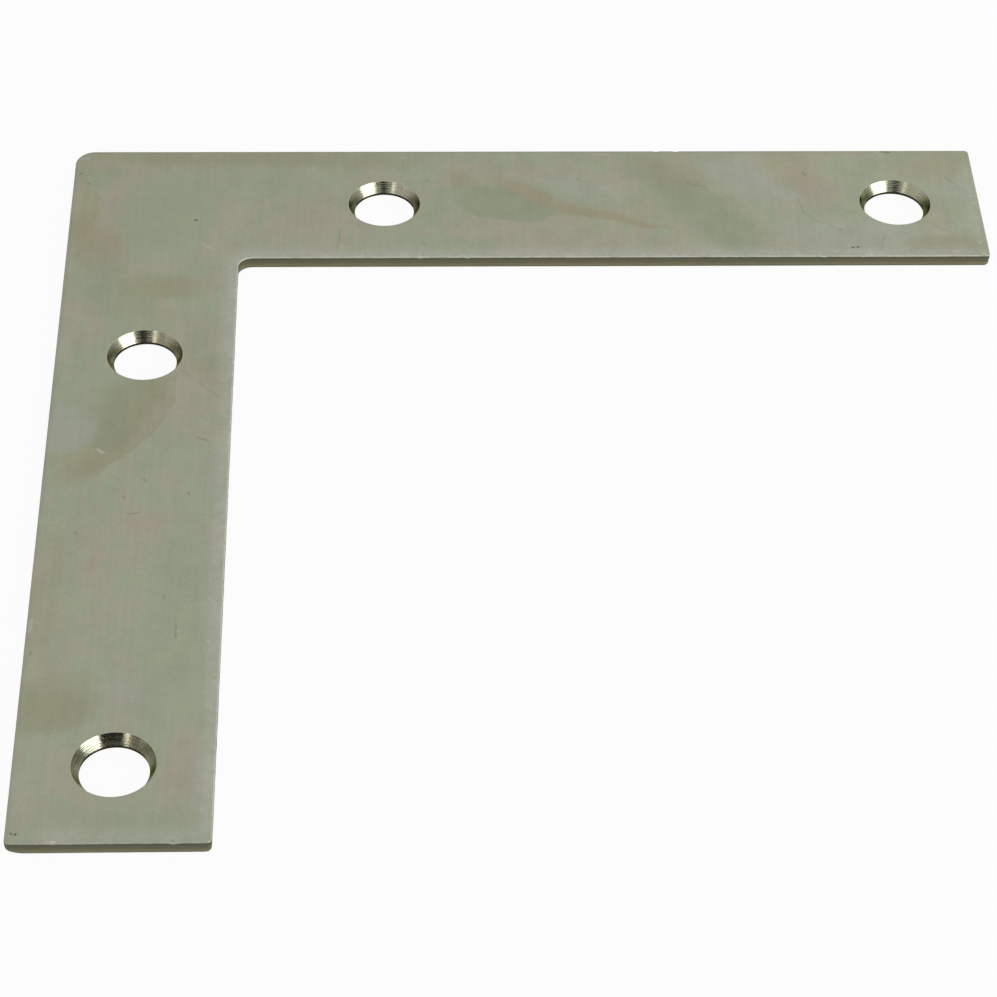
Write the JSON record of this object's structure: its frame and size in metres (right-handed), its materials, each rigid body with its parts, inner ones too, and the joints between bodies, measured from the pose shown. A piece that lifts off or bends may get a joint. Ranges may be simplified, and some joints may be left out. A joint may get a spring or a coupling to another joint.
{
  "type": "flat corner brace",
  "caption": "Flat L-shaped steel plate with countersunk screw holes, for bracing the corner of a frame.",
  "frame": {"origin": "on the underside, where the middle lines of the two arms cross", "axes": "+Z out of the countersunk face, one arm along +X, the other along -Y"},
  "size_m": [0.1016, 0.1016, 0.0016],
  "materials": {
    "zinc_plated_steel": "satin zinc plating with a yellow-green passivated tint"
  },
  "bodies": {
    "root": {"corner_plate": "zinc_plated_steel"}
  },
  "joints": []
}
